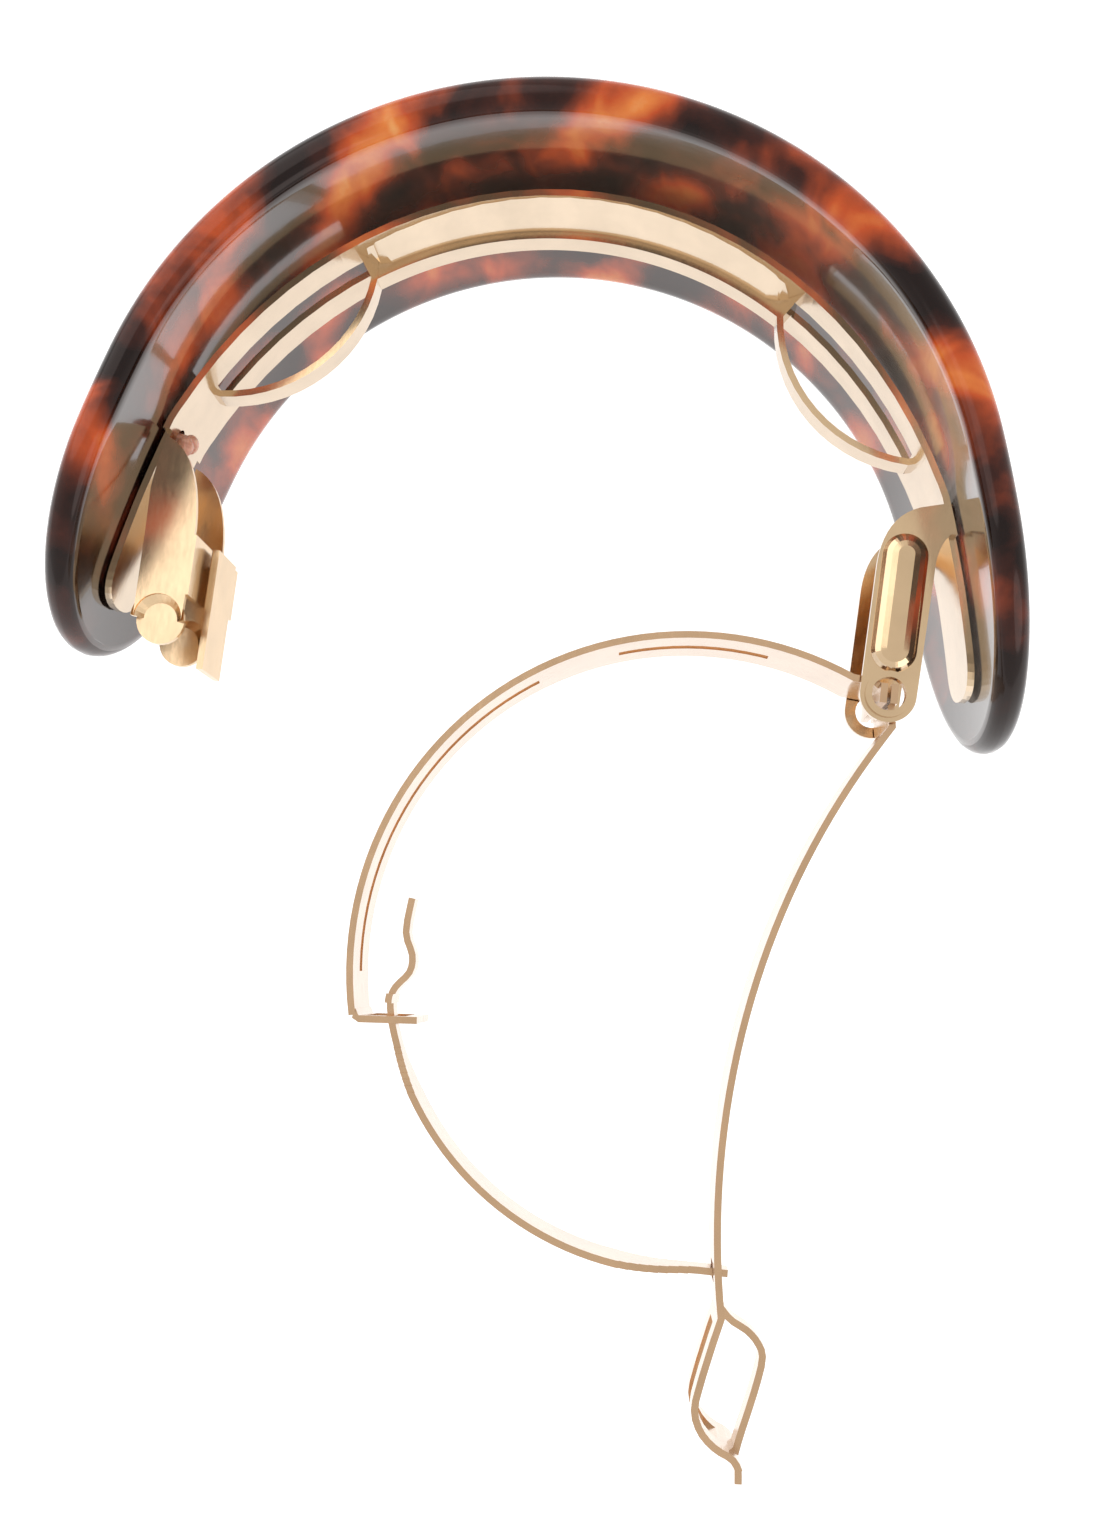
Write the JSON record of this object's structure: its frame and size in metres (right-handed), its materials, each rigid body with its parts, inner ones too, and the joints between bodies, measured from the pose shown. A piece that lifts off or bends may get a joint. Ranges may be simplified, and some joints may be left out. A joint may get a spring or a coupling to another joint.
{
  "type": "automatic clip barrette",
  "caption": "Curved, round-ended hair barrette in mottled acetate with a sprung sheet-metal snap clasp, open.",
  "frame": {"origin": "middle of the bounding box in X and Y, on the plane of the shell's lower edge, clasp open", "axes": "+X along the chord of the C-shaped shell from the catch to the hinge, +Y from the open clasp towards the crown of the shell, +Z across the width of the band"},
  "size_m": [0.0842, 0.1144, 0.034],
  "materials": {
    "acetate": "polished, tortoiseshell-mottled",
    "staked_acetate": "melted, slightly rough",
    "plated_base": "bright pale-gold plating on steel",
    "plated_lever": "bright pale-gold plating on steel",
    "plated_spring": "bright pale-gold plating on spring steel"
  },
  "bodies": {
    "base": {"shell": "acetate", "clip_base": "plated_base", "peg_left": "staked_acetate", "peg_right": "staked_acetate"},
    "lever_front": {"release_lever_front": "plated_lever"},
    "lever_rear": {"release_lever_rear": "plated_lever"},
    "arm": {"clasp_arm": "plated_spring"},
    "leaf_upper": {"tension_leaf_upper": "plated_spring"},
    "leaf_lower": {"tension_leaf_lower": "plated_spring"}
  },
  "joints": [
    {"name": "clasp_hinge", "type": "hinge", "parent": "base", "child": "arm", "pos_m": [0.03095, 0.00936, 0.017], "axis": [0, 0, -1], "range_deg": [-5, 75]},
    {"name": "leaf_upper_flex", "type": "hinge", "parent": "arm", "child": "leaf_upper", "pos_m": [0.03095, 0.00936, 0.017], "axis": [0, 0, 1], "range_deg": [-1, 12.2]},
    {"name": "leaf_lower_flex", "type": "hinge", "parent": "arm", "child": "leaf_lower", "pos_m": [0.02164, -0.04061, 0.017], "axis": [0, 0, -1], "range_deg": [-1, 7.6]},
    {"name": "pinch_front", "type": "hinge", "parent": "base", "child": "lever_front", "pos_m": [-0.033, 0.02066, 0.0218], "axis": [1, 0, 0], "range_deg": [0, 6], "stiffness_Nm_per_rad": 0.3},
    {"name": "pinch_rear", "type": "hinge", "parent": "base", "child": "lever_rear", "pos_m": [-0.033, 0.02066, 0.0122], "axis": [-1, 0, 0], "range_deg": [0, 6], "stiffness_Nm_per_rad": 0.3}
  ],
  "couplings": [
    {"joint": "leaf_upper_flex", "follows": "clasp_hinge", "ratio": 0.158},
    {"joint": "leaf_lower_flex", "follows": "clasp_hinge", "ratio": 0.0974},
    {"joint": "pinch_rear", "follows": "pinch_front", "ratio": 1}
  ]
}
